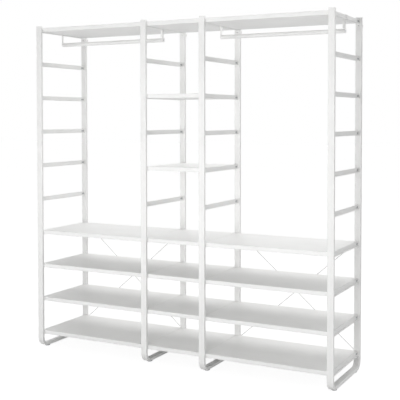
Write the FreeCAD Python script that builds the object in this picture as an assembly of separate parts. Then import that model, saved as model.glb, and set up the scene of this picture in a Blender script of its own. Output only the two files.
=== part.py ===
import FreeCAD, Part
import math
import os

from FreeCAD import Placement, Rotation, Vector

# Layout of the sections, millimetres throughout
wide_bay = 808.0
narrow_bay = 408.0
frame_depth = 510.0
frame_height = 2126.0
wall_gap = 14.0
foot_height = 6.0

# Flat tube of the side units
tube_width = 40.0
tube_thickness = 18.0
tube_wall = 2.0
tube_corner = 4.0
corner_facets = 2
bend_radius = 60.0

# Levels, counted from the top
level_count = 10
top_recess = 10.0
lowest_shelf_height = 115.0
wide_levels = (0, 6, 7, 8, 9)
narrow_levels = (0, 2, 4, 6, 7, 8, 9)

# Shelf boards
shelf_thickness = 25.0
shelf_chamfer = 1.5
shelf_end_gap = 0.6
shelf_leg_gap = 1.5

# Inverted-T bearers
bearer_width = 24.0
bearer_flange = 3.0
web_width = 6.0
web_sheet = 1.5
web_chamfer = 1.2
web_below_shelf_top = 0.4

# Leg caps
cap_lid = 2.5
cap_plug_length = 12.0
cap_clearance = 0.2

# Levelling feet
foot_behind_bend = 12.0
pad_width = 34.0
pad_sides = 12
pad_chamfer = 1.0
pad_socket_depth = 3.0
stud_radius = 4.0
stud_head_room = 0.6
foot_nut_radius = 5.5
foot_nut_length = 11.0

# Clothes rails
rail_radius = 12.5
rail_wall = 1.2
rail_drop = 93.0
rail_end_play = 0.3
hanger_width = 26.0
hanger_thickness = 2.0
hanger_clearance = 0.3
hanger_lip = 15.0
plug_length = 14.0
rail_screw_radius = 2.0
rail_screw_reach = 10.0
rail_screw_head = 1.8
rail_screw_head_radius = 3.8

# Cross braces
brace_top_level = 6
brace_bottom_level = 9
brace_overreach = 12.0
rod_radius = 2.25
rod_leg_gap = 0.75
rod_gap = 0.5
tab_length = 24.0
tab_width = 14.0
tab_thickness = 2.5
brace_screw_radius = 3.0
brace_screw_reach = 9.0
brace_screw_head = 3.0
brace_screw_head_radius = 5.5
brace_nut_radius = 4.5
brace_nut_length = 10.0
spacer_radius = 6.0

# Wall spacers
wall_fixing_drop = 50.0
wall_spacer_width = 36.0
wall_spacer_height = 14.0
wall_screw_radius = 3.25
wall_spigot_radius = 5.0
wall_spigot_length = 4.0

# What several pieces share: small round pieces are prisms of few sides
fastener_sides = 10
eye_sides = 16
running_clearance = 0.3
hole_clearance = 0.1
seat_clearance = 0.05
overcut = 1.0

# Places that follow from the sizes above
inner_x = narrow_bay / 2
outer_x = inner_x + wide_bay
unit_xs = (-outer_x, -inner_x, inner_x, outer_x)
y_front = -(frame_depth + wall_gap) / 2
y_rear = y_front + frame_depth
y_wall = y_rear + wall_gap
y_rail = (y_front + y_rear) / 2
y_front_leg = y_front + tube_thickness / 2
y_rear_leg = y_rear - tube_thickness / 2
y_front_bend = y_front + bend_radius
y_rear_bend = y_rear - bend_radius
foot_ys = (y_front_bend + foot_behind_bend, y_rear_bend - foot_behind_bend)
leg_top = foot_height + frame_height
tube_top = leg_top - cap_lid
highest_shelf_height = leg_top - top_recess
level_pitch = (highest_shelf_height - lowest_shelf_height) / (level_count - 1)
bend_z = foot_height + bend_radius
runner_top = foot_height + tube_thickness
pad_top = foot_height - running_clearance
stud_bottom = pad_top - pad_socket_depth
stud_top = runner_top - tube_wall - stud_head_room
web_height = shelf_thickness - web_below_shelf_top
top_web_height = shelf_thickness - hanger_thickness
top_end_gap = hanger_thickness + 2 * hanger_clearance
wall_fixing_z = leg_top - wall_fixing_drop
rod_stand_off = rod_radius + rod_leg_gap
y_back_rod = y_rear + 2 * rod_radius + rod_gap

x_way = Vector(1, 0, 0)
y_way = Vector(0, 1, 0)
z_way = Vector(0, 0, 1)


def shelf_top(level):
    return highest_shelf_height - level * level_pitch


def shelf_middle(level):
    return shelf_top(level) - shelf_thickness / 2


rail_z = shelf_top(0) - rail_drop
brace_top = shelf_middle(brace_top_level) + brace_overreach
brace_bottom = shelf_middle(brace_bottom_level) - brace_overreach


def save(name, solids):
    shape = solids[0] if len(solids) == 1 else Part.makeCompound(solids)
    shape.exportStep("parts/" + name + ".step")


def one_solid(shape):
    return shape.removeSplitter().Solids[0]


def span(middle, width):
    return (middle - width / 2, middle + width / 2)


def block(x_range, y_range, z_range):
    corner = Vector(x_range[0], y_range[0], z_range[0])
    length, width, height = (high - low for low, high in (x_range, y_range, z_range))
    return Part.makeBox(length, width, height, corner)


def cylinder(radius, start, length, way):
    return Part.makeCylinder(radius, length, start, way)


def polygon(sides, radius, centre, way):
    corners = []
    for index in range(sides + 1):
        turn = 2 * math.pi * (index + 0.5) / sides
        corners.append(Vector(math.cos(turn), math.sin(turn), 0) * radius)
    wire = Part.makePolygon(corners)
    wire.Placement = Placement(centre, Rotation(z_way, way))
    return wire


def peg(radius, start, length, way, sides=fastener_sides):
    return Part.Face(polygon(sides, radius, start, way)).extrude(way * length)


def sleeve(radius, bore_radius, start, length, way):
    return peg(radius, start, length, way).cut(peg(bore_radius, start, length, way)).Solids[0]


def flat_eye(width, start, thickness, way):
    return peg(width / 2 / math.cos(math.pi / eye_sides), start, thickness, way, eye_sides)


def rounded_face(width, thickness, corner):
    points = []
    for quarter, (x_sign, y_sign) in enumerate(((1, 1), (-1, 1), (-1, -1), (1, -1))):
        centre = Vector(x_sign * (width / 2 - corner), y_sign * (thickness / 2 - corner), 0)
        for step in range(corner_facets + 1):
            turn = math.pi / 2 * (quarter + step / corner_facets)
            points.append(centre + Vector(math.cos(turn), math.sin(turn), 0) * corner)
    return Part.Face(Part.makePolygon(points + points[:1]))


def plain_face(width, thickness):
    return Part.makePlane(width, thickness, Vector(-width / 2, -thickness / 2, 0))


# Side units: a flat tube bent into a U, legs up
def u_bar(face):
    pieces = []
    for leg_y, bend_y, turn in ((y_front_leg, y_front_bend, 90), (y_rear_leg, y_rear_bend, -90)):
        leg_face = face.copy()
        leg_face.translate(Vector(0, leg_y, bend_z))
        pieces.append(leg_face.extrude(z_way * (tube_top - bend_z)))
        pieces.append(leg_face.revolve(Vector(0, bend_y, bend_z), x_way, turn))
    runner_face = face.copy()
    runner_face.rotate(Vector(0, 0, 0), x_way, 90)
    runner_face.translate(Vector(0, y_front_bend, foot_height + tube_thickness / 2))
    pieces.append(runner_face.extrude(y_way * (y_rear_bend - y_front_bend)))
    return one_solid(pieces[0].multiFuse(pieces[1:]))


def through_wall(radius, y, z, way):
    start = Vector(0, y, z) - way * overcut
    return peg(radius + hole_clearance, start, tube_wall + 2 * overcut, way)


def side_frame(x):
    outside = u_bar(rounded_face(tube_width, tube_thickness, tube_corner))
    inside = u_bar(plain_face(tube_width - 2 * tube_wall, tube_thickness - 2 * tube_wall))
    back_wall = y_rear - tube_wall
    holes = [through_wall(foot_nut_radius, y, foot_height, z_way) for y in foot_ys]
    holes += [through_wall(brace_nut_radius, back_wall, z, y_way) for z in (brace_top, brace_bottom)]
    holes.append(through_wall(wall_spigot_radius, back_wall, wall_fixing_z, y_way))
    holes.append(through_wall(wall_screw_radius, y_rear - tube_thickness, wall_fixing_z, y_way))
    frame = outside.cut(inside).cut(holes)
    frame.translate(Vector(x, 0, 0))
    return frame.Solids[0]


# Shelf bearers: a sheet folded to an inverted T, with a hollow web that is open below
def bearer(height):
    half_web = web_width / 2
    half_slit = half_web - web_sheet
    half_flange = bearer_width / 2
    points = [
        (half_web - web_chamfer, height),
        (half_web, height - web_chamfer),
        (half_web, 0),
        (half_flange, 0),
        (half_flange, -bearer_flange),
        (half_slit, -bearer_flange),
        (half_slit, height - web_sheet),
    ]
    y = y_front + tube_thickness
    right = [Vector(x, y, z) for x, z in points]
    left = [Vector(-x, y, z) for x, z in reversed(points)]
    face = Part.Face(Part.makePolygon(right + left + right[:1]))
    return face.extrude(y_way * (frame_depth - 2 * tube_thickness))


def hanger_slots():
    slot_width = hanger_thickness + 2 * hanger_clearance
    ys = span(y_rail, hanger_width + 2 * hanger_clearance)
    slots = []
    for side in (-1, 1):
        xs = span(side * (web_width + slot_width) / 2, slot_width)
        slots.append(block(xs, ys, (-bearer_flange - overcut, 0)))
    return slots


def ladder(x):
    bar = bearer(web_height)
    slotted = bearer(top_web_height).cut(hanger_slots()).Solids[0]
    rungs = []
    for level in range(level_count):
        rung = bar.copy() if level else slotted
        rung.translate(Vector(x, 0, shelf_top(level) - shelf_thickness))
        rungs.append(rung)
    return rungs


# Leg caps: a lid on the tube's end and a plug inside it
def leg_cap(x, y):
    inset = tube_wall + cap_clearance
    lid = rounded_face(tube_width, tube_thickness, tube_corner).extrude(z_way * cap_lid)
    plug = plain_face(tube_width - 2 * inset, tube_thickness - 2 * inset).extrude(z_way * -cap_plug_length)
    cap = one_solid(lid.fuse(plug))
    cap.translate(Vector(x, y, tube_top))
    return cap


# Levelling feet: pad and stud move together, the nut stays in the runner
def foot_pad(x, y):
    rim_radius = pad_width / 2 / math.cos(math.pi / pad_sides)
    sole = polygon(pad_sides, rim_radius - pad_chamfer, Vector(x, y, 0), z_way)
    rim = polygon(pad_sides, rim_radius, Vector(x, y, pad_chamfer), z_way)
    crown = polygon(pad_sides, rim_radius, Vector(x, y, pad_top), z_way)
    pad = Part.makeLoft([sole, rim, crown], True, True)
    socket = peg(stud_radius + seat_clearance, Vector(x, y, stud_bottom), pad_socket_depth + overcut, z_way)
    return pad.cut(socket).Solids[0]


def foot_stud(x, y):
    return peg(stud_radius, Vector(x, y, stud_bottom), stud_top - stud_bottom, z_way)


def foot_nut(x, y):
    thread_radius = stud_radius + running_clearance
    return sleeve(foot_nut_radius, thread_radius, Vector(x, y, foot_height), foot_nut_length, z_way)


# Shelf boards lie on the bearers' flanges; the top ones leave room for the hangers
def shelf(left_x, right_x, level):
    end_inset = web_width / 2 + (shelf_end_gap if level else top_end_gap)
    leg_inset = tube_thickness + shelf_leg_gap
    xs = (left_x + end_inset, right_x - end_inset)
    ys = (y_front + leg_inset, y_rear - leg_inset)
    board = block(xs, ys, (shelf_top(level) - shelf_thickness, shelf_top(level)))
    front_face = min(board.Faces, key=lambda face: face.CenterOfMass.y)
    long_edges = [edge for edge in front_face.Edges if edge.Length > shelf_thickness]
    return board.makeChamfer(shelf_chamfer, long_edges)


# Clothes rails: a tube between two straps that hook over the top bearers' webs
def hanger(web_x, side):
    high = shelf_top(0)
    low = high - hanger_thickness
    near = web_width / 2 + hanger_clearance
    far = near + hanger_thickness
    ys = span(y_rail, hanger_width)
    eye = Vector(near, y_rail, rail_z)
    strap = block((near, far), ys, (rail_z, high))
    bridge = block((-far, near), ys, (low, high))
    lip = block((-far, -near), ys, (low - hanger_lip, low))
    hook = strap.multiFuse([bridge, lip, flat_eye(hanger_width, eye, hanger_thickness, x_way)])
    hook = one_solid(hook).cut(peg(rail_screw_radius + hole_clearance, eye, hanger_thickness, x_way))
    if side < 0:
        hook = hook.mirror(Vector(0, 0, 0), x_way)
    hook.translate(Vector(web_x, 0, 0))
    return hook.Solids[0]


def rail_seat(web_x, side):
    offset = web_width / 2 + hanger_clearance + hanger_thickness
    return Vector(web_x + side * offset, y_rail, rail_z)


def rail_tube(left_x, right_x):
    start = rail_seat(left_x, 1) + x_way * rail_end_play
    length = rail_seat(right_x, -1).x - rail_end_play - start.x
    outside = cylinder(rail_radius, start, length, x_way)
    return outside.cut(cylinder(rail_radius - rail_wall, start, length, x_way)).Solids[0]


def rail_plug(web_x, side):
    seat = rail_seat(web_x, side)
    inward = x_way * side
    plug = peg(rail_radius - rail_wall - seat_clearance, seat, plug_length, inward)
    return plug.cut(peg(rail_screw_radius + seat_clearance, seat, plug_length, inward)).Solids[0]


def rail_screw(web_x, side):
    inward = x_way * side
    strap_back = rail_seat(web_x, side) - inward * hanger_thickness
    shank = peg(rail_screw_radius, strap_back, hanger_thickness + rail_screw_reach, inward)
    head = peg(rail_screw_head_radius, strap_back, rail_screw_head, inward * -1)
    return one_solid(shank.fuse(head))


# Cross braces: two rods with flat eyes, one passing behind the other
def brace_rod(start, end):
    along = (end - start).normalize()
    rod_inset = along * (tab_length / 2)
    rod_axis = y_way * rod_stand_off
    rod_length = (end - start - rod_inset * 2).Length
    pieces = [peg(rod_radius, start + rod_inset + rod_axis, rod_length, along)]
    holes = []
    for eye, inward in ((start, along), (end, along * -1)):
        tab = Part.makeBox(tab_length, tab_thickness, tab_width, Vector(0, 0, -tab_width / 2))
        tab.Placement = Placement(eye, Rotation(inward, y_way, inward.cross(y_way), "XYZ"))
        pieces += [tab, flat_eye(tab_width, eye, tab_thickness, y_way)]
        holes.append(peg(brace_screw_radius + hole_clearance, eye, tab_thickness, y_way))
    return pieces[0].multiFuse(pieces[1:]).removeSplitter().cut(holes).Solids[0]


def brace_screw(eye):
    seat = eye + y_way * tab_thickness
    shank = peg(brace_screw_radius, seat, seat.y - y_rear + brace_screw_reach, y_way * -1)
    head = peg(brace_screw_head_radius, seat, brace_screw_head, y_way)
    return one_solid(shank.fuse(head))


def brace_nut(eye):
    mouth = Vector(eye.x, y_rear, eye.z)
    thread_radius = brace_screw_radius + seat_clearance
    return sleeve(brace_nut_radius, thread_radius, mouth, brace_nut_length, y_way * -1)


def brace_spacer(eye):
    start = Vector(eye.x, y_rear, eye.z)
    return sleeve(spacer_radius, brace_screw_radius + hole_clearance, start, eye.y - y_rear, y_way)


# Wall spacers: a block with a spigot in the rear leg, bored for a wall screw
def wall_spacer(x):
    zs = span(wall_fixing_z, wall_spacer_height)
    body = block(span(x, wall_spacer_width), (y_rear, y_wall), zs)
    spigot_end = Vector(x, y_rear - wall_spigot_length, wall_fixing_z)
    spigot = peg(wall_spigot_radius, spigot_end, wall_spigot_length, y_way)
    bore = cylinder(wall_screw_radius, spigot_end, wall_spigot_length + wall_gap, y_way)
    return one_solid(body.fuse(spigot)).cut(bore).Solids[0]


os.makedirs("parts", exist_ok=True)

caps = []
foot_nuts = []
for number, x in enumerate(unit_xs, 1):
    save("side_frame_%d" % number, [side_frame(x)])
    save("shelf_bearers_%d" % number, ladder(x))
    caps += [leg_cap(x, y) for y in (y_front_leg, y_rear_leg)]
    foot_nuts += [foot_nut(x, y) for y in foot_ys]
    for place, y in zip(("front", "rear"), foot_ys):
        save("foot_pad_%d_%s" % (number, place), [foot_pad(x, y)])
        save("foot_stud_%d_%s" % (number, place), [foot_stud(x, y)])
save("leg_caps", caps)
save("foot_nuts", foot_nuts)
save("wall_spacers", [wall_spacer(x) for x in unit_xs])

sections = (
    ("left", -outer_x, -inner_x, wide_levels),
    ("middle", -inner_x, inner_x, narrow_levels),
    ("right", inner_x, outer_x, wide_levels),
)
for section, left_x, right_x, levels in sections:
    for number, level in enumerate(levels, 1):
        save("shelf_%s_%d" % (section, number), [shelf(left_x, right_x, level)])

plugs = []
rail_screws = []
for section, left_x, right_x in (("left", -outer_x, -inner_x), ("right", inner_x, outer_x)):
    ends = ((left_x, 1), (right_x, -1))
    save("rail_tube_%s" % section, [rail_tube(left_x, right_x)])
    save("rail_hangers_%s" % section, [hanger(x, side) for x, side in ends])
    plugs += [rail_plug(x, side) for x, side in ends]
    rail_screws += [rail_screw(x, side) for x, side in ends]
save("rail_plugs", plugs)
save("rail_screws", rail_screws)

brace_screws = []
brace_nuts = []
brace_spacers = []
for section, side in (("left", -1), ("right", 1)):
    front_eyes = [
        Vector(side * outer_x, y_rear, brace_top),
        Vector(side * inner_x, y_rear, brace_bottom),
    ]
    back_eyes = [
        Vector(side * outer_x, y_back_rod, brace_bottom),
        Vector(side * inner_x, y_back_rod, brace_top),
    ]
    save("brace_rod_%s_front" % section, [brace_rod(*front_eyes)])
    save("brace_rod_%s_back" % section, [brace_rod(*back_eyes)])
    brace_screws += [brace_screw(eye) for eye in front_eyes + back_eyes]
    brace_nuts += [brace_nut(eye) for eye in front_eyes + back_eyes]
    brace_spacers += [brace_spacer(eye) for eye in back_eyes]
save("brace_screws", brace_screws)
save("brace_nuts", brace_nuts)
save("brace_spacers", brace_spacers)
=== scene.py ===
import bpy
import bmesh
import math
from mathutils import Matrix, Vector


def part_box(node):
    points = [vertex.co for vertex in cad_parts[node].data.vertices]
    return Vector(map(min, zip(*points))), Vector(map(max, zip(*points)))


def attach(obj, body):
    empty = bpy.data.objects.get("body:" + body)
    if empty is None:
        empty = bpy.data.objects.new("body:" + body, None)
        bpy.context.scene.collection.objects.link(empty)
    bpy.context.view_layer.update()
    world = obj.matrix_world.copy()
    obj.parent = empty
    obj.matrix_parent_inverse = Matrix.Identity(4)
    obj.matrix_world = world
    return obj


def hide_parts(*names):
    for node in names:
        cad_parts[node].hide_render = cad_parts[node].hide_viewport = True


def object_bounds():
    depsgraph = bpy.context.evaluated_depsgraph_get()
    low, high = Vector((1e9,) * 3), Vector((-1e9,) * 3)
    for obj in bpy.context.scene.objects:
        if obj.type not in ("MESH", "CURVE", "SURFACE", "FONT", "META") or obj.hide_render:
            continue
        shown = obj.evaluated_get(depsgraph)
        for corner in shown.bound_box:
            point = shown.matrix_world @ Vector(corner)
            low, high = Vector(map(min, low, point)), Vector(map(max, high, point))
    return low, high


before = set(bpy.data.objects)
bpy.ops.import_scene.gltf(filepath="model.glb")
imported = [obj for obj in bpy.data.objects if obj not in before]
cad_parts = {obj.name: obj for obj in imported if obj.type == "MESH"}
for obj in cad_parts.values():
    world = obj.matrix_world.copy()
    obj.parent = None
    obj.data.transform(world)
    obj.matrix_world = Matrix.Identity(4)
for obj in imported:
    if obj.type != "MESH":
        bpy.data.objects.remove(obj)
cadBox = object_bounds()
mm = 0.001
sameSpot = 0.02 * mm  # places closer than this count as one
mergeGap = 0.002 * mm  # doubles closer than this are merged
facing = 0.9  # a face looks along an axis when its normal has more of it than this
upright = 0.05  # a face stands upright when its normal rises less than this
sharpEdge = math.radians(50)  # edges sharper than this are eased
alongX = (0, math.pi / 2, 0)
alongY = (math.pi / 2, 0, 0)
print("frame loaded:", len(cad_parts), "solids")


# picking things by hand

def pickNothing():
    if bpy.context.mode != "OBJECT":
        bpy.ops.object.mode_set(mode="OBJECT")
    bpy.ops.object.select_all(action="DESELECT")


def pickPiece(piece):
    pickNothing()
    piece.select_set(True)
    bpy.context.view_layer.objects.active = piece


def editPiece(piece):
    pickPiece(piece)
    bpy.ops.object.mode_set(mode="EDIT")
    bpy.ops.mesh.select_all(action="SELECT")


def pickFaces(test):
    bpy.ops.mesh.select_mode(type="FACE")
    bpy.ops.mesh.select_all(action="DESELECT")
    mesh = bmesh.from_edit_mesh(bpy.context.object.data)
    for face in mesh.faces:
        if test(face.calc_center_median(), face.normal):
            face.select_set(True)
    bmesh.update_edit_mesh(bpy.context.object.data)


def pickEdges(test):
    bpy.ops.mesh.select_mode(type="EDGE")
    bpy.ops.mesh.select_all(action="DESELECT")
    mesh = bmesh.from_edit_mesh(bpy.context.object.data)
    for edge in mesh.edges:
        if test(edge.verts[0].co, edge.verts[1].co):
            edge.select_set(True)
    bmesh.update_edit_mesh(bpy.context.object.data)


def pickVerts(test):
    bpy.ops.mesh.select_mode(type="VERT")
    bpy.ops.mesh.select_all(action="DESELECT")
    mesh = bmesh.from_edit_mesh(bpy.context.object.data)
    for vert in mesh.verts:
        if test(vert.co):
            vert.select_set(True)
    bmesh.update_edit_mesh(bpy.context.object.data)


def near(a, b):
    return abs(a - b) < sameSpot


# starting a piece: a primitive at its size and place, left open in edit mode

def startPiece(name, size, middle, turn=(0, 0, 0)):
    piece = bpy.context.object
    piece.name = piece.data.name = name
    piece.scale = size
    piece.rotation_euler = turn
    piece.location = middle
    bpy.ops.object.transform_apply(location=True, rotation=True, scale=True)
    editPiece(piece)
    return piece


def startPlate(name, size, middle, turn=(0, 0, 0)):
    pickNothing()
    bpy.ops.mesh.primitive_plane_add(size=1)
    return startPiece(name, (size[0], size[1], 1), middle, turn)


def startBlock(name, low, high):
    low, high = Vector(low), Vector(high)
    pickNothing()
    bpy.ops.mesh.primitive_cube_add(size=1)
    return startPiece(name, high - low, (low + high) / 2)


def startRound(name, radius, length, sides, middle, turn=(0, 0, 0), ends="NGON"):
    pickNothing()
    bpy.ops.mesh.primitive_cylinder_add(vertices=sides, radius=radius, depth=length,
                                        end_fill_type=ends)
    return startPiece(name, (1, 1, 1), middle, turn)


def pull(x, y, z):
    bpy.ops.mesh.extrude_region_move(TRANSFORM_OT_translate={"value": (x, y, z)})


def roundOff(width, segments, affect="EDGES"):
    bpy.ops.mesh.bevel(offset=width, segments=segments, affect=affect, profile=0.5)


def sliceAt(point, normal):
    bpy.ops.mesh.select_all(action="SELECT")
    bpy.ops.mesh.bisect(plane_co=point, plane_no=normal)


# finishing a piece

def useModifier(piece, kind, **settings):
    pickPiece(piece)
    modifier = piece.modifiers.new(kind.lower(), kind)
    for name, value in settings.items():
        setattr(modifier, name, value)
    bpy.ops.object.modifier_apply(modifier=modifier.name)


def easeEdges(piece, width):
    useModifier(piece, "BEVEL", width=width, segments=2, limit_method="ANGLE",
                angle_limit=sharpEdge)


def cutAway(piece, cutter):
    useModifier(piece, "BOOLEAN", object=cutter, operation="DIFFERENCE", solver="EXACT")
    bpy.data.objects.remove(cutter)


def copyPiece(piece, name, move=(0, 0, 0), turn=(0, 0, 0)):
    pickPiece(piece)
    bpy.ops.object.duplicate()
    twin = bpy.context.object
    twin.name = twin.data.name = name
    twin.rotation_euler = turn
    twin.location = move
    bpy.ops.object.transform_apply(location=True, rotation=True, scale=True)
    return twin


def joinPieces(pieces, name):
    pickNothing()
    for piece in pieces:
        piece.select_set(True)
    bpy.context.view_layer.objects.active = pieces[0]
    bpy.ops.object.join()
    pieces[0].name = pieces[0].data.name = name
    return pieces[0]


def smoothPiece(piece, angle=35):
    editPiece(piece)
    bpy.ops.mesh.remove_doubles(threshold=mergeGap)
    bpy.ops.mesh.select_all(action="SELECT")
    bpy.ops.mesh.normals_make_consistent(inside=False)
    pickPiece(piece)
    bpy.ops.object.shade_smooth_by_angle(angle=math.radians(angle))
    useModifier(piece, "WEIGHTED_NORMAL", keep_sharp=True, weight=90)


def dress(piece, material):
    piece.data.materials.clear()
    piece.data.materials.append(material)


def fit(piece, body, node):
    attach(piece, body)
    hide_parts(node)


# materials

def srgb(text):
    channels = [int(text[i:i + 2], 16) / 255 for i in (1, 3, 5)]
    return [c / 12.92 if c <= 0.04045 else ((c + 0.055) / 1.055) ** 2.4 for c in channels] + [1.0]


def addNode(material, kind, inputs, **settings):
    tree = material.node_tree
    node = tree.nodes.new(kind)
    for name, value in settings.items():
        setattr(node, name, value)
    for socket, value in inputs.items():
        if isinstance(value, bpy.types.NodeSocket):
            tree.links.new(value, node.inputs[socket])
        else:
            node.inputs[socket].default_value = value
    return node


def startMaterial(name, **values):
    material = bpy.data.materials.new(name)
    material.use_nodes = True
    shader = material.node_tree.nodes["Principled BSDF"]
    for socket, value in values.items():
        shader.inputs[socket].default_value = value
    place = addNode(material, "ShaderNodeTexCoord", {}).outputs["Object"]
    return material, shader, place


toneEnds = (0.3, 0.7)  # the noise levels at which the darker and the lighter tone are pure


def finishMaterial(material, shader, shade, tones, gloss, roughness, height, bump):
    link = material.node_tree.links.new
    ramp = addNode(material, "ShaderNodeValToRGB", {"Fac": shade})
    for element, tone, end in zip(ramp.color_ramp.elements, tones, toneEnds):
        element.color = srgb(tone)
        element.position = end
    rough = addNode(material, "ShaderNodeMapRange", {
        "Value": gloss, "To Min": roughness[0], "To Max": roughness[1]})
    relief = addNode(material, "ShaderNodeBump", {
        "Height": height, "Strength": bump[0], "Distance": bump[1]})
    link(ramp.outputs["Color"], shader.inputs["Base Color"])
    link(rough.outputs["Result"], shader.inputs["Roughness"])
    link(relief.outputs["Normal"], shader.inputs["Normal"])
    return material


# powder-coated steel: sprayed and baked, a satin white skin with an orange peel, which is drawn
# coarse so that it shows
powderCoat = {"peel": 4.5 * mm, "cloud": 180 * mm, "peelShare": 0.35, "roughness": (0.30, 0.48),
              "bump": (0.3, 0.22 * mm)}


def powderCoatedSteel(name, tones):
    p = powderCoat
    material, shader, place = startMaterial(name, IOR=1.5)
    cloud = addNode(material, "ShaderNodeTexNoise", {
        "Vector": place, "Scale": 1 / p["cloud"], "Detail": 3.0}).outputs["Fac"]
    peel = addNode(material, "ShaderNodeTexNoise", {
        "Vector": place, "Scale": 1 / p["peel"], "Detail": 1.5}).outputs["Fac"]
    shade = addNode(material, "ShaderNodeMix", {0: p["peelShare"], 2: cloud, 3: peel})
    return finishMaterial(material, shader, shade.outputs[0], tones, peel, p["roughness"],
                          peel, p["bump"])


# melamine foil on particle board: pressed paper foil, silk white, with a faint grain along the
# board that is drawn wider than the real one so that it shows
boardFoil = {"tones": ("#EFEFEE", "#F7F7F6"), "grainLength": 150 * mm, "grainWidth": 4 * mm,
             "grainShare": 0.5, "cloud": 240 * mm, "roughness": (0.36, 0.54),
             "bump": (0.2, 0.1 * mm)}


def melamineFoil():
    b = boardFoil
    material, shader, place = startMaterial("melamineFoil", IOR=1.5)
    stretch = (1 / b["grainLength"], 1 / b["grainWidth"], 1 / b["grainWidth"])
    along = addNode(material, "ShaderNodeMapping", {"Vector": place, "Scale": stretch})
    grain = addNode(material, "ShaderNodeTexNoise", {
        "Vector": along.outputs["Vector"], "Scale": 1.0, "Detail": 4.0}).outputs["Fac"]
    cloud = addNode(material, "ShaderNodeTexNoise", {
        "Vector": place, "Scale": 1 / b["cloud"], "Detail": 2.0}).outputs["Fac"]
    shade = addNode(material, "ShaderNodeMix", {0: b["grainShare"], 2: cloud, 3: grain})
    return finishMaterial(material, shader, shade.outputs[0], b["tones"], grain, b["roughness"],
                          grain, b["bump"])


# edge strip of the boards: thin extruded ABS, planed flush, slightly duller than the foil
edgeStrip = {"tones": ("#E9E9E7", "#EEEEEC"), "scrape": 0.9 * mm, "scrapeLong": 50 * mm,
             "roughness": (0.5, 0.62), "bump": (0.12, 0.06 * mm)}


def edgeStripAbs():
    e = edgeStrip
    material, shader, place = startMaterial("edgeStripAbs", IOR=1.53)
    stretch = (1 / e["scrapeLong"], 1 / e["scrapeLong"], 1 / e["scrape"])
    lines = addNode(material, "ShaderNodeMapping", {"Vector": place, "Scale": stretch})
    scrape = addNode(material, "ShaderNodeTexNoise", {
        "Vector": lines.outputs["Vector"], "Scale": 1.0, "Detail": 2.0}).outputs["Fac"]
    return finishMaterial(material, shader, scrape, e["tones"], scrape, e["roughness"],
                          scrape, e["bump"])


# polypropylene: moulded in an eroded tool, so a fine even stipple and a waxy half gloss
stipple = {"grit": 0.8 * mm, "cloud": 25 * mm, "roughness": (0.44, 0.58), "bump": (0.25, 0.05 * mm)}


def mouldedPolypropylene(name, tones):
    s = stipple
    material, shader, place = startMaterial(name, IOR=1.49)
    grit = addNode(material, "ShaderNodeTexVoronoi", {"Vector": place, "Scale": 1 / s["grit"]})
    cloud = addNode(material, "ShaderNodeTexNoise", {
        "Vector": place, "Scale": 1 / s["cloud"], "Detail": 2.0}).outputs["Fac"]
    return finishMaterial(material, shader, cloud, tones, cloud, s["roughness"],
                          grit.outputs["Distance"], s["bump"])


# zinc-plated steel: bright barrel plating, cool grey with small dull patches
zincPlate = {"tones": ("#A9AEB3", "#C3C7CA"), "patch": 3.0 * mm, "scratch": 0.5 * mm,
             "roughness": (0.26, 0.42), "bump": (0.10, 0.03 * mm)}


def zincPlatedSteel():
    z = zincPlate
    material, shader, place = startMaterial("zincPlatedSteel", Metallic=1.0)
    patch = addNode(material, "ShaderNodeTexNoise", {
        "Vector": place, "Scale": 1 / z["patch"], "Detail": 4.0}).outputs["Fac"]
    scratch = addNode(material, "ShaderNodeTexNoise", {
        "Vector": place, "Scale": 1 / z["scratch"], "Detail": 1.0}).outputs["Fac"]
    return finishMaterial(material, shader, patch, z["tones"], patch, z["roughness"],
                          scratch, z["bump"])


paint = powderCoatedSteel("powderCoatedSteel", ("#ECECEB", "#F4F4F3"))
shadedWirePaint = powderCoatedSteel("shadedPowderCoatedWire", ("#D8D8D7", "#E0E0DF"))  # a greyer copy of the white paint: painted shade of the rods behind the shelves
foil = melamineFoil()
strip = edgeStripAbs()
whitePlastic = mouldedPolypropylene("whitePolypropylene", ("#EBEBE9", "#EFEFED"))
greyPlastic = mouldedPolypropylene("greyPolypropylene", ("#8D8F91", "#999B9D"))
# painted shade: a mid grey for the web pads, the shade in the corners where bearers meet rear legs
cornerShadePlastic = mouldedPolypropylene("cornerShadePolypropylene", ("#B2B4B5", "#BCBEBF"))
zinc = zincPlatedSteel()
print("materials ready")


# places taken from the solids
unitBoxes = [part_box("side_frame_%d" % number) for number in (1, 2, 3, 4)]
unitXs = [(low.x + high.x) / 2 for low, high in unitBoxes]
frameLow, frameHigh = unitBoxes[0]
frontY, rearY = frameLow.y, frameHigh.y
wallY = cadBox[1].y
railY = (frontY + rearY) / 2
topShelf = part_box("shelf_left_1")[1].z


# side units: one flat tube bent to a U
sideFrame = {"width": 40 * mm, "thick": 18 * mm, "corner": 4 * mm, "cornerSteps": 5,
             "bend": 60 * mm, "bendSteps": 14, "wallHole": 3.35 * mm, "wallHoleDrop": 50 * mm,
             "holeSides": 24}
legYs = (frontY + sideFrame["thick"] / 2, rearY - sideFrame["thick"] / 2)  # middles of the legs
legFaces = (frontY + sideFrame["thick"], rearY - sideFrame["thick"])  # the legs' inner sides
wallHoleZ = cadBox[1].z - sideFrame["wallHoleDrop"]


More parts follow.
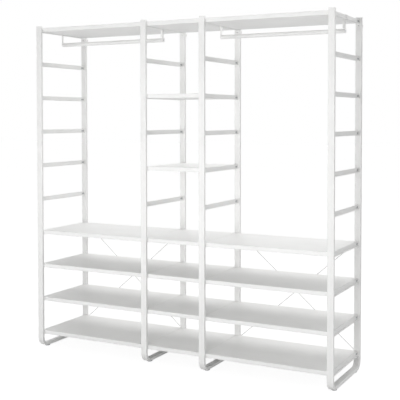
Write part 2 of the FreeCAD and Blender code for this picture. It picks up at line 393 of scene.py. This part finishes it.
def makeSideFrame():
    s = sideFrame
    foot, head = frameLow.z, frameHigh.z
    tube = startPlate("sideFrame", (s["width"], s["thick"]), (0, legYs[0], head))
    roundOff(s["corner"], s["cornerSteps"], affect="VERTICES")
    bpy.ops.mesh.select_all(action="SELECT")
    pull(0, 0, foot + s["bend"] - head)
    bpy.ops.mesh.spin(steps=s["bendSteps"], angle=-math.pi / 2, axis=(1, 0, 0),
                      center=(0, frontY + s["bend"], foot + s["bend"]))
    pull(0, rearY - frontY - 2 * s["bend"], 0)
    bpy.ops.mesh.spin(steps=s["bendSteps"], angle=-math.pi / 2, axis=(1, 0, 0),
                      center=(0, rearY - s["bend"], foot + s["bend"]))
    pull(0, 0, head - foot - s["bend"])
    drill = startRound("drill", s["wallHole"], 3 * s["thick"], s["holeSides"],
                       (0, legYs[1], wallHoleZ), alongY)
    cutAway(tube, drill)
    smoothPiece(tube)
    dress(tube, paint)
    return tube


tube = makeSideFrame()
for number, x in enumerate(unitXs, 1):
    sideUnit = copyPiece(tube, "sideFrame%d" % number, (x, 0, 0))
    fit(sideUnit, "frame", "side_frame_%d" % number)
bpy.data.objects.remove(tube)
print("side frames bent")


# shelf bearers: sheet folded to an upside-down T, welded between the legs
bearer = {"flange": 24 * mm, "flangeThick": 3 * mm, "web": 6 * mm, "slit": 3 * mm,
          "sheet": 1.5 * mm, "webHigh": 24.6 * mm, "topWebHigh": 23 * mm, "webRound": 1.2 * mm,
          "footRound": 0.8 * mm, "flangeRound": 0.5 * mm, "levels": 10, "pitch": 223 * mm,
          "board": 25 * mm, "slotWide": 2.6 * mm, "slotLong": 26.6 * mm}
weld = {"radius": 1.7 * mm, "sides": 8, "shorter": 4 * mm, "ripple": 2 * mm, "ripples": 4,
        "taper": 9 * mm, "waist": 0.78}


def makeBearer(webHigh):
    b = bearer
    start, end = legFaces
    side = b["web"] / 2
    tall = b["flangeThick"] + webHigh
    middle = (0, start, tall / 2 - b["flangeThick"])
    bar = startPlate("bearer", (b["flange"], tall), middle, alongY)
    for x in (-side, -b["slit"] / 2, b["slit"] / 2, side):
        sliceAt((x, 0, 0), (1, 0, 0))
    for z in (0, webHigh - b["sheet"]):
        sliceAt((0, 0, z), (0, 0, 1))
    pickFaces(lambda c, n: (abs(c.x) > side and c.z > 0)
              or (abs(c.x) < b["slit"] / 2 and c.z < webHigh - b["sheet"]))
    bpy.ops.mesh.delete(type="FACE")
    bpy.ops.mesh.select_all(action="SELECT")
    pull(0, end - start, 0)
    pickEdges(lambda p, q: not near(p.y, q.y) and near(abs(p.x), side) and near(p.z, webHigh))
    roundOff(b["webRound"], segments=3)
    pickEdges(lambda p, q: not near(p.y, q.y) and near(abs(p.x), side) and near(p.z, 0))
    roundOff(b["footRound"], segments=2)
    pickEdges(lambda p, q: not near(p.y, q.y) and near(abs(p.x), b["flange"] / 2))
    roundOff(b["flangeRound"], segments=2)
    return bar


def makeWeld(y):
    w = weld
    middle = (0, y, -bearer["flangeThick"])
    length = bearer["flange"] - w["shorter"]
    bead = startRound("weld", w["radius"], length, w["sides"], middle, alongX)
    for step in range(-w["ripples"], w["ripples"] + 1):
        sliceAt((step * w["ripple"], 0, 0), (1, 0, 0))
    pickVerts(lambda v: near(abs(v.x) % (2 * w["ripple"]), w["ripple"]) or abs(v.x) > w["taper"])
    bpy.ops.transform.resize(value=(1, w["waist"], w["waist"]), center_override=middle)
    return bead


bar = makeBearer(bearer["webHigh"])
slotted = makeBearer(bearer["topWebHigh"])
for side in (-1, 1):  # the rail hangers hook through these slots
    half = Vector((bearer["slotWide"], bearer["slotLong"], 4 * bearer["flangeThick"])) / 2
    middle = Vector((side * (bearer["web"] + bearer["slotWide"]) / 2, railY, 0))
    cutAway(slotted, startBlock("slotCutter", middle - half, middle + half))
welds = joinPieces([makeWeld(y) for y in legFaces], "welds")
rungZs = [topShelf - bearer["board"] - level * bearer["pitch"] for level in range(bearer["levels"])]
rungs = []
for level, z in enumerate(rungZs):
    rungs.append(copyPiece(bar if level else slotted, "rung", (0, 0, z)))
    rungs.append(copyPiece(welds, "rungWeld", (0, 0, z)))
ladder = joinPieces(rungs, "ladder")
smoothPiece(ladder)
dress(ladder, paint)
for number, x in enumerate(unitXs, 1):
    bearers = copyPiece(ladder, "shelfBearers%d" % number, (x, 0, 0))
    fit(bearers, "frame", "shelf_bearers_%d" % number)
for scrap in (bar, slotted, welds, ladder):
    bpy.data.objects.remove(scrap)
print("bearers welded in")


# web pads: small grey pads set in the webs next to the rear legs; their grey is painted shade,
# standing in for the dark corner where the bearers meet the legs
webShadePad = {"long": 28 * mm, "tall": 11 * mm, "proud": 0.4 * mm, "deep": 0.6 * mm,
             "fromLeg": 4 * mm, "lift": 4.5 * mm, "corner": 3 * mm, "rim": 0.2 * mm}


def makeShadePad():
    b = webShadePad
    side = bearer["web"] / 2
    rearEnd = legFaces[1] - b["fromLeg"]
    low = (side - b["deep"], rearEnd - b["long"], b["lift"])
    high = (side + b["proud"], rearEnd, b["lift"] + b["tall"])
    pad = startBlock("shadePad", low, high)
    pickEdges(lambda p, q: not near(p.x, q.x))
    roundOff(b["corner"], segments=5)
    pickEdges(lambda p, q: near(p.x, high[0]) and near(q.x, high[0]))
    roundOff(b["rim"], segments=2)
    smoothPiece(pad)
    # painted shade: the grey of the corner between bearer and rear leg
    dress(pad, cornerShadePlastic)
    return pad, low[1] + high[1]


shadePad, twiceMiddle = makeShadePad()
shadePads = []
for z in rungZs:
    shadePads.append(copyPiece(shadePad, "shadePad", (0, 0, z)))
    shadePads.append(copyPiece(shadePad, "shadePad", (0, twiceMiddle, z), (0, 0, math.pi)))
shadePadRow = joinPieces(shadePads, "shadePadRow")
shadePadRows = [copyPiece(shadePadRow, "webShadePads", (x, 0, 0)) for x in unitXs]
webShadePads = joinPieces(shadePadRows, "webShadePads")
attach(webShadePads, "frame")
for scrap in (shadePad, shadePadRow):
    bpy.data.objects.remove(scrap)
print("buffers set")


# shelf boards: foil wrapped over the front edge, an edge strip on each end
board = {"frontRound": 3.0 * mm, "rearRound": 0.7 * mm, "stripInset": 0.9 * mm,
         "stripDepth": 0.15 * mm}


def makeBoard(node):
    low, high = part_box(node)
    piece = startBlock("board", low, high)
    pickEdges(lambda p, q: near(p.y, low.y) and near(q.y, low.y) and not near(p.x, q.x))
    roundOff(board["frontRound"], segments=5)
    pickEdges(lambda p, q: near(p.y, high.y) and near(q.y, high.y) and not near(p.x, q.x))
    roundOff(board["rearRound"], segments=2)
    piece.data.materials.append(foil)
    piece.data.materials.append(strip)
    pickFaces(lambda c, n: abs(n.x) > facing)
    bpy.ops.mesh.inset(thickness=board["stripInset"], depth=-board["stripDepth"])
    piece.active_material_index = 1
    bpy.ops.object.material_slot_assign()
    smoothPiece(piece)
    return piece


for section, count in (("left", 5), ("middle", 7), ("right", 5)):
    for numbers in ([1], range(2, count + 1)):  # the top board is shorter than the rest
        firstNode = "shelf_%s_%d" % (section, numbers[0])
        model = makeBoard(firstNode)
        for number in numbers:
            node = "shelf_%s_%d" % (section, number)
            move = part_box(node)[0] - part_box(firstNode)[0]
            shelf = copyPiece(model, "shelf%s%d" % (section.capitalize(), number), move)
            fit(shelf, "frame", node)
        bpy.data.objects.remove(model)
print("boards cut")


# leg caps: a moulded lid with a plug inside the tube
legCap = {"lid": 2.5 * mm, "plug": 12 * mm, "plugInset": 2.2 * mm, "round": 0.9 * mm}


def makeCap():
    s = sideFrame
    cap = startPlate("cap", (s["width"], s["thick"]), (0, 0, 0))
    roundOff(s["corner"], s["cornerSteps"], affect="VERTICES")
    bpy.ops.mesh.select_all(action="SELECT")
    pull(0, 0, legCap["lid"])
    pickEdges(lambda p, q: near(p.z, legCap["lid"]) and near(q.z, legCap["lid"]))
    roundOff(legCap["round"], segments=4)
    pickFaces(lambda c, n: near(c.z, 0))
    bpy.ops.mesh.inset(thickness=legCap["plugInset"])
    pull(0, 0, -legCap["plug"])
    smoothPiece(cap)
    dress(cap, whitePlastic)
    return cap


cap = makeCap()
capPlaces = [(x, y, frameHigh.z) for x in unitXs for y in legYs]
caps = [copyPiece(cap, "legCap", place) for place in capPlaces]
fit(joinPieces(caps, "legCaps"), "frame", "leg_caps")
bpy.data.objects.remove(cap)
print("legs capped")


# levelling feet: a ribbed pad on a threaded stud
footPad = {"radius": 17 * mm, "sides": 60, "soleRound": 1.0 * mm, "topRound": 0.6 * mm,
           "ribInset": 0.25 * mm, "ribDepth": 0.35 * mm, "socket": 4.1 * mm,
           "socketDeep": 3.0 * mm, "smooth": 30}
footStud = {"thread": 4.0 * mm, "core": 3.4 * mm, "pitch": 1.25 * mm, "crestShare": 0.125,
            "leadTurns": 1.5, "spareTurns": 3, "steps": 20, "seam": 0.001 * mm, "smooth": 30}


def makePad(low, high):
    f = footPad
    tall = high.z - low.z
    pad = startRound("pad", f["radius"], tall, f["sides"], (0, 0, tall / 2))
    pickEdges(lambda p, q: near(p.z, 0) and near(q.z, 0))
    roundOff(f["soleRound"], segments=2)
    pickEdges(lambda p, q: near(p.z, tall) and near(q.z, tall))
    roundOff(f["topRound"], segments=2)
    step = 2 * math.pi / f["sides"]
    pickFaces(lambda c, n: abs(n.z) < upright
              and math.floor((math.atan2(c.y, c.x) + math.pi) / step) % 2)
    bpy.ops.mesh.inset(thickness=f["ribInset"], depth=-f["ribDepth"], use_individual=True)
    pickFaces(lambda c, n: n.z > facing and near(c.z, tall))
    bpy.ops.mesh.inset(thickness=f["radius"] - f["topRound"] - f["socket"])
    pull(0, 0, -f["socketDeep"])
    smoothPiece(pad, f["smooth"])
    dress(pad, greyPlastic)
    return pad


def makeStud(low, high):
    f = footStud
    crest = f["pitch"] * f["crestShare"]
    flank = (f["pitch"] - 2 * crest) / 2
    depth = f["thread"] - f["core"]
    stud = startPlate("stud", (mm, mm), (0, 0, 0))
    pickVerts(lambda v: True)
    bpy.ops.mesh.merge(type="CENTER")  # one point, drawn out to the thread's profile
    start = (f["core"], 0, low.z - f["leadTurns"] * f["pitch"])
    bpy.ops.transform.translate(value=start)
    pull(depth, 0, flank)
    pull(0, 0, crest)
    pull(-depth, 0, flank)
    pull(0, 0, crest)
    turns = math.ceil((high.z - low.z) / f["pitch"]) + f["spareTurns"]
    useModifier(stud, "SCREW", axis="Z", angle=2 * math.pi, screw_offset=f["pitch"],
                iterations=turns, steps=f["steps"], render_steps=f["steps"],
                use_merge_vertices=True, merge_threshold=f["seam"])
    for height, way in ((low.z, -1), (high.z, 1)):
        editPiece(stud)
        bpy.ops.mesh.remove_doubles(threshold=mergeGap)
        bpy.ops.mesh.select_all(action="SELECT")
        bpy.ops.mesh.bisect(plane_co=(0, 0, height), plane_no=(0, 0, way), use_fill=True,
                            clear_outer=True)
    smoothPiece(stud, f["smooth"])
    dress(stud, zinc)
    return stud


pad = makePad(*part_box("foot_pad_1_front"))
stud = makeStud(*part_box("foot_stud_1_front"))
for number in (1, 2, 3, 4):
    for end in ("front", "rear"):
        node = "%d_%s" % (number, end)
        name = "%d%s" % (number, end.capitalize())
        low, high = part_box("foot_pad_" + node)
        x, y = (low.x + high.x) / 2, (low.y + high.y) / 2
        sole = copyPiece(pad, "footPad" + name, (x, y, low.z))
        fit(sole, "foot_" + node, "foot_pad_" + node)
        screw = copyPiece(stud, "footStud" + name, (x, y, 0))
        fit(screw, "foot_" + node, "foot_stud_" + node)
bpy.data.objects.remove(pad)
bpy.data.objects.remove(stud)
print("feet screwed in")


# clothes rails: a tube between two strap hangers that hook over the top bearers
rail = {"wall": 1.2 * mm, "mouth": 16 * mm, "sides": 64, "endRound": 0.25 * mm}
hanger = {"sheet": 2 * mm, "wide": 26 * mm, "inner": 3.3 * mm, "lip": 15 * mm,
          "lipCorner": 3 * mm, "fold": 1.6 * mm, "hole": 2.2 * mm, "holeSides": 24,
          "edge": 12 * mm, "edgeCorner": 2.5 * mm, "edgeTop": 29.5 * mm, "edgeEnd": 27 * mm,
          "waist": 14 * mm, "endSteps": 12, "endFlat": 0.05 * mm, "eased": 0.25 * mm}
railScrew = {"head": 3.8 * mm, "headHigh": 1.8 * mm, "headRound": 1.2 * mm, "headSides": 32,
             "shank": 2.0 * mm, "reach": 12 * mm, "point": 2 * mm, "tipShare": 0.5,
             "cross": 0.9 * mm, "crossLong": 4.4 * mm, "crossDeep": 1.1 * mm}
hangerLow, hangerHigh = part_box("rail_hangers_left")
railEyeZ = hangerLow.z + hanger["wide"] / 2


def makeRail(node, name):
    low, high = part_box(node)
    ends = (low.x, high.x)
    radius = (high.z - low.z) / 2
    tube = startRound(name, radius, high.x - low.x, rail["sides"], (low + high) / 2, alongX)
    for end, way in zip(ends, (1, -1)):
        pickFaces(lambda c, n: near(c.x, end) and abs(n.x) > facing)
        bpy.ops.mesh.inset(thickness=rail["wall"])
        pull(way * rail["mouth"], 0, 0)
    pickEdges(lambda p, q: any(near(p.x, end) and near(q.x, end) for end in ends))
    roundOff(rail["endRound"], segments=2)
    smoothPiece(tube)
    dress(tube, paint)
    return tube


def makeHanger(front):  # front is the way in y, -1 or 1, that its folded edge looks
    h = hanger
    middle = h["inner"] + h["sheet"] / 2
    bottom, top = hangerLow.z, hangerHigh.z - h["sheet"] / 2
    strap = startPlate("hanger", (2 * middle, h["wide"]), (0, railY, top))
    pickEdges(lambda p, q: near(p.x, middle) and near(q.x, middle))
    pull(0, 0, bottom - top)
    pickEdges(lambda p, q: near(p.x, -middle) and near(q.x, -middle))
    pull(0, 0, -h["lip"] - h["sheet"] / 2)
    pickVerts(lambda v: near(v.z, bottom))
    roundOff(h["wide"] / 2 - h["endFlat"], h["endSteps"], affect="VERTICES")
    edgeHigh, edgeLow = hangerHigh.z - h["edgeTop"], bottom + h["edgeEnd"]
    frontEdge = railY + front * h["wide"] / 2
    waistEdge = frontEdge - front * h["waist"]
    for z in (edgeHigh, edgeLow):
        sliceAt((0, 0, z), (0, 0, 1))
    sliceAt((0, waistEdge, 0), (0, 1, 0))
    pickFaces(lambda c, n: edgeLow < c.z < edgeHigh and (c.y - waistEdge) * front < 0)
    bpy.ops.mesh.delete(type="FACE")
    pickEdges(lambda p, q: near(p.y, frontEdge) and near(q.y, frontEdge)
              and near(max(p.z, q.z), edgeHigh) and near(min(p.z, q.z), edgeLow))
    pull(h["edge"], 0, 0)  # the narrow waist is folded to an angle, which stiffens it
    pickVerts(lambda v: near(v.x, middle + h["edge"]))
    roundOff(h["edgeCorner"], segments=4, affect="VERTICES")
    pickEdges(lambda p, q: near(p.z, top) and near(q.z, top) and not near(p.y, q.y))
    roundOff(h["fold"], segments=4)
    lipEnd = top - h["lip"] - h["sheet"] / 2
    pickVerts(lambda v: near(v.z, lipEnd) and near(abs(v.y - railY), h["wide"] / 2))
    roundOff(h["lipCorner"], segments=4, affect="VERTICES")
    useModifier(strap, "SOLIDIFY", thickness=h["sheet"], offset=0.0, use_even_offset=True)
    cutAway(strap, startRound("drill", h["hole"], 6 * h["sheet"], h["holeSides"],
                              (middle, railY, railEyeZ), alongX))
    easeEdges(strap, h["eased"])
    smoothPiece(strap)
    dress(strap, paint)
    return strap


def makeRailScrew():
    r = railScrew
    face = hanger["inner"]
    crown = face - r["headHigh"]
    middle = (face - r["headHigh"] / 2, railY, railEyeZ)
    screw = startRound("railScrew", r["head"], r["headHigh"], r["headSides"], middle, alongX)
    pickEdges(lambda p, q: near(p.x, crown) and near(q.x, crown))
    roundOff(r["headRound"], segments=4)
    pickFaces(lambda c, n: near(c.x, face) and n.x > facing)
    bpy.ops.mesh.inset(thickness=r["head"] - r["shank"])
    pull(r["reach"] - r["point"], 0, 0)
    pull(r["point"], 0, 0)
    bpy.ops.transform.resize(value=(1, r["tipShare"], r["tipShare"]),
                             center_override=(face + r["reach"], railY, railEyeZ))
    slot = Vector((crown, railY, railEyeZ))
    for wide, tall in ((r["cross"], r["crossLong"]), (r["crossLong"], r["cross"])):
        half = Vector((r["crossDeep"], wide / 2, tall / 2))
        cutAway(screw, startBlock("bit", slot - half, slot + half))
    smoothPiece(screw)
    dress(screw, zinc)
    return screw


strapModels = [makeHanger(front) for front in (-1, 1)]  # for a rail's left and right end
railScrewModel = makeRailScrew()
railScrews = []
for section, ends in (("left", unitXs[:2]), ("right", unitXs[2:])):
    straps = []
    for x, turn, strap in zip(ends, (0, math.pi), strapModels):
        place = (x, 2 * railY if turn else 0, 0)
        straps.append(copyPiece(strap, "strap", place, (0, 0, turn)))
        railScrews.append(copyPiece(railScrewModel, "railScrew", place, (0, 0, turn)))
    tube = makeRail("rail_tube_" + section, "rail" + section.capitalize())
    fit(tube, "frame", "rail_tube_" + section)
    hangers = joinPieces(straps, "railHangers" + section.capitalize())
    fit(hangers, "frame", "rail_hangers_" + section)
fit(joinPieces(railScrews, "railScrews"), "frame", "rail_screws")
for scrap in strapModels + [railScrewModel]:
    bpy.data.objects.remove(scrap)
print("rails hung")


# cross braces: round rods hammered flat to an eye at each end
brace = {"rod": 2.25 * mm, "rodSides": 20, "standOff": 3.0 * mm, "tab": 14 * mm,
         "tabThick": 2.5 * mm, "tabLong": 24 * mm, "eyeSides": 40, "eyeRound": 0.4 * mm,
         "hole": 3.1 * mm, "holeSides": 28, "swage": 9 * mm, "top": 783.5 * mm,
         "bottom": 90.5 * mm, "shift": 5.0 * mm}
braceScrew = {"head": 5.5 * mm, "headHigh": 3.0 * mm, "headRound": 2.2 * mm, "headSides": 40,
              "shank": 3.0 * mm, "reach": 11 * mm, "key": 2.0 * mm, "keySides": 6,
              "keyDeep": 1.5 * mm}
braceSpacer = {"radius": 6 * mm, "sides": 40, "wall": 2.9 * mm, "eased": 0.4 * mm}


def makeRod(length):
    b = brace
    halfTab = b["tabThick"] / 2
    straight = b["tabLong"] / 2 + b["swage"]
    rod = startRound("rod", b["rod"], length - 2 * straight, b["rodSides"],
                     (length / 2, b["standOff"], 0), alongX)
    for end, way in ((straight, -1), (length - straight, 1)):
        pickFaces(lambda c, n: near(c.x, end) and abs(n.x) > facing)
        pull(way * b["swage"], halfTab - b["standOff"], 0)
        flat = (1, halfTab / b["rod"], b["tab"] / 2 / b["rod"])
        root = (end + way * b["swage"], halfTab, 0)
        bpy.ops.transform.resize(value=flat, center_override=root)
        pull(way * b["tabLong"] / 2, 0, 0)
    for x in (0, length):
        middle = (x, halfTab, 0)
        eye = startRound("eye", b["tab"] / 2, b["tabThick"], b["eyeSides"], middle, alongY)
        pickEdges(lambda p, q: near(p.y, q.y))
        roundOff(b["eyeRound"], segments=2)
        useModifier(rod, "BOOLEAN", object=eye, operation="UNION", solver="EXACT")
        bpy.data.objects.remove(eye)
        cutAway(rod, startRound("drill", b["hole"], 4 * b["tabThick"], b["holeSides"], middle,
                                alongY))
    smoothPiece(rod)
    # painted shade: the rods take the greyer copy of the white paint
    dress(rod, shadedWirePaint)
    return rod


def makeBraceScrew():
    s = braceScrew
    screw = startRound("braceScrew", s["head"], s["headHigh"], s["headSides"],
                       (0, s["headHigh"] / 2, 0), alongY)
    pickEdges(lambda p, q: near(p.y, s["headHigh"]) and near(q.y, s["headHigh"]))
    roundOff(s["headRound"], segments=5)
    pickFaces(lambda c, n: near(c.y, 0) and n.y < -facing)
    bpy.ops.mesh.inset(thickness=s["head"] - s["shank"])
    pull(0, -s["reach"], 0)
    cutAway(screw, startRound("key", s["key"], 2 * s["keyDeep"], s["keySides"],
                              (0, s["headHigh"], 0), alongY))
    smoothPiece(screw)
    dress(screw, zinc)
    return screw


def makeSpacer():
    s = braceSpacer
    ring = startRound("spacer", s["radius"], brace["shift"], s["sides"],
                      (0, brace["shift"] / 2, 0), alongY, "NOTHING")
    useModifier(ring, "SOLIDIFY", thickness=s["wall"], offset=-1.0)
    easeEdges(ring, s["eased"])
    smoothPiece(ring)
    dress(ring, whitePlastic)
    return ring


span = unitXs[1] - unitXs[0]
drop = brace["top"] - brace["bottom"]
slope = math.atan2(drop, span)
rodModel = makeRod(math.hypot(span, drop))
screwModel = makeBraceScrew()
spacerModel = makeSpacer()
braceScrews = []
spacers = []
for section, leftX, nodes in (("left", unitXs[0], ("front", "back")),
                              ("right", unitXs[2], ("back", "front"))):
    for way, node in zip((1, -1), nodes):  # one rod falls to the right, the other rises
        y = rearY + (brace["shift"] if node == "back" else 0)
        startZ = brace["top"] if way > 0 else brace["bottom"]
        endZ = brace["bottom"] if way > 0 else brace["top"]
        name = "braceRod%s%s" % (section.capitalize(), node.capitalize())
        rod = copyPiece(rodModel, name, (leftX, y, startZ), (0, way * slope, 0))
        fit(rod, "frame", "brace_rod_%s_%s" % (section, node))
        for x, z in ((leftX, startZ), (leftX + span, endZ)):
            braceScrews.append(copyPiece(screwModel, "braceScrew", (x, y + brace["tabThick"], z)))
            if node == "back":
                spacers.append(copyPiece(spacerModel, "spacer", (x, rearY, z)))
fit(joinPieces(braceScrews, "braceScrews"), "frame", "brace_screws")
fit(joinPieces(spacers, "braceSpacers"), "frame", "brace_spacers")
for scrap in (rodModel, screwModel, spacerModel):
    bpy.data.objects.remove(scrap)
print("braces bolted on")


# wall spacers: moulded blocks behind the rear legs, bored for a wall screw
wallBlock = {"wide": 36 * mm, "tall": 14 * mm, "round": 1.2 * mm, "bore": 3.25 * mm,
             "boreLong": 60 * mm, "boreSides": 32}


def makeWallBlock():
    w = wallBlock
    low = (-w["wide"] / 2, rearY, wallHoleZ - w["tall"] / 2)
    high = (w["wide"] / 2, wallY, wallHoleZ + w["tall"] / 2)
    block = startBlock("wallBlock", low, high)
    pickEdges(lambda p, q: near(p.y, wallY) and near(q.y, wallY) or not near(p.y, q.y))
    roundOff(w["round"], segments=3)
    cutAway(block, startRound("drill", w["bore"], w["boreLong"], w["boreSides"],
                              (0, wallY, wallHoleZ), alongY))
    smoothPiece(block)
    dress(block, whitePlastic)
    return block


blockModel = makeWallBlock()
blocks = [copyPiece(blockModel, "wallBlock", (x, 0, 0)) for x in unitXs]
fit(joinPieces(blocks, "wallBlocks"), "frame", "wall_spacers")
bpy.data.objects.remove(blockModel)
print("wall spacers set")


# pieces that keep the shape of their solids
dress(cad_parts["rail_plugs"], whitePlastic)
dress(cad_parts["brace_nuts"], zinc)
dress(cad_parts["foot_nuts"], zinc)
print("hidden pieces dressed")


# stage: a white floor that keeps the shadow, soft lamps, and a white world that lights more from
# the back and the right
stage = {"floor": "#D2D2D2", "floorSize": 80, "floorGlow": 0.7, "floorLift": 0.70,
         "worldLight": 0.47, "worldLean": (0.13, 0.33, 0.0)}
white = (1, 1, 1, 1)


def makeFloor():
    pickNothing()
    bpy.ops.mesh.primitive_plane_add(size=stage["floorSize"])
    floor = bpy.context.object
    floor.name = "floor"
    material = bpy.data.materials.new("paintedFloor")
    material.use_nodes = True
    material.node_tree.nodes.clear()
    path = addNode(material, "ShaderNodeLightPath", {})
    seen = addNode(material, "ShaderNodeMath", {
        0: path.outputs["Is Camera Ray"], 1: path.outputs["Is Glossy Ray"]}, operation="MAXIMUM")
    lift = addNode(material, "ShaderNodeMath", {
        0: seen.outputs["Value"], 1: stage["floorLift"]}, operation="MULTIPLY")
    part = addNode(material, "ShaderNodeMath", {
        0: seen.outputs["Value"], 1: stage["floorGlow"]}, operation="MULTIPLY")
    matt = addNode(material, "ShaderNodeBsdfDiffuse", {"Color": srgb(stage["floor"])})
    pale = addNode(material, "ShaderNodeEmission", {
        "Color": white, "Strength": lift.outputs["Value"]})
    lit = addNode(material, "ShaderNodeAddShader", {
        0: matt.outputs["BSDF"], 1: pale.outputs["Emission"]})
    glow = addNode(material, "ShaderNodeEmission", {"Color": white, "Strength": 1.0})
    mix = addNode(material, "ShaderNodeMixShader", {
        0: part.outputs["Value"], 1: lit.outputs["Shader"], 2: glow.outputs["Emission"]})
    addNode(material, "ShaderNodeOutputMaterial", {"Surface": mix.outputs["Shader"]})
    dress(floor, material)


def makeWorld():
    world = bpy.data.worlds.new("studio")
    world.use_nodes = True
    bpy.context.scene.world = world
    world.node_tree.nodes.clear()
    path = addNode(world, "ShaderNodeLightPath", {})
    seen = addNode(world, "ShaderNodeMath", {
        0: path.outputs["Is Camera Ray"], 1: path.outputs["Is Transmission Ray"]},
        operation="MAXIMUM")
    seenToo = addNode(world, "ShaderNodeMath", {
        0: seen.outputs["Value"], 1: path.outputs["Is Glossy Ray"]}, operation="MAXIMUM")
    way = addNode(world, "ShaderNodeTexCoord", {}).outputs["Generated"]
    lean = addNode(world, "ShaderNodeVectorMath", {
        0: way, 1: stage["worldLean"]}, operation="DOT_PRODUCT")
    power = addNode(world, "ShaderNodeMath", {
        0: lean.outputs["Value"], 1: stage["worldLight"]}, operation="ADD")
    light = addNode(world, "ShaderNodeBackground", {
        "Color": white, "Strength": power.outputs["Value"]})
    blank = addNode(world, "ShaderNodeBackground", {"Color": white, "Strength": 1.0})
    mix = addNode(world, "ShaderNodeMixShader", {
        0: seenToo.outputs["Value"], 1: light.outputs["Background"],
        2: blank.outputs["Background"]})
    addNode(world, "ShaderNodeOutputWorld", {"Surface": mix.outputs["Shader"]})


lamps = {
    "frontLeft": {"place": (-1.6, -3.3, 0.9), "aim": (-1.6, 0.0, 0.9),
                  "size": (1.6, 1.6), "power": 30},
    "frontRight": {"place": (1.6, -3.3, 0.9), "aim": (1.6, 0.0, 0.9),
                   "size": (1.6, 1.6), "power": 28},
    "frontMiddle": {"place": (0.9, -4.5, 1.4), "aim": (-0.6, 0.0, 1.2),
                    "size": (0.8, 1.8), "power": 30},
    "frontHigh": {"place": (0.4, -2.8, 3.6), "aim": (0.2, 0.0, 0.8),
                  "size": (3.0, 1.0), "power": 16},
    "backPanel": {"place": (0.0, 2.4, 3.0), "aim": (0.0, 0.0, 0.8),
                  "size": (5.0, 1.8), "power": 37},
    "topPanel": {"place": (0.0, 3.2, 9.0), "aim": (0.0, 0.0, 0.8),
                 "size": (8.0, 5.0), "power": 78},
}


def makeLamp(name, lamp):
    pickNothing()
    bpy.ops.object.light_add(type="AREA", location=lamp["place"])
    light = bpy.context.object
    light.name = name
    light.data.shape = "RECTANGLE"
    light.data.size, light.data.size_y = lamp["size"]
    light.data.energy = lamp["power"]
    light.visible_camera = False
    beam = Vector(lamp["aim"]) - Vector(lamp["place"])
    light.rotation_euler = beam.to_track_quat("-Z", "Y").to_euler()


makeFloor()
makeWorld()
for name, lamp in lamps.items():
    makeLamp(name, lamp)
print("stage lit")


# camera: almost level, from the right of the front, with the photograph's framing
camera = {"place": (2.50662, -4.55751, 1.52376), "yaw": -0.47229, "pitch": -0.03306,
          "lens": 73.83, "sensor": 36, "shift": (-0.0438, -0.135)}
pickNothing()
turn = (math.pi / 2 + camera["pitch"], 0, -camera["yaw"])
bpy.ops.object.camera_add(location=camera["place"], rotation=turn)
eye = bpy.context.object
eye.name = "camera"
eye.data.sensor_width = camera["sensor"]
eye.data.lens = camera["lens"]
eye.data.shift_x, eye.data.shift_y = camera["shift"]
bpy.context.scene.camera = eye
bpy.context.scene.view_settings.view_transform = "Standard"
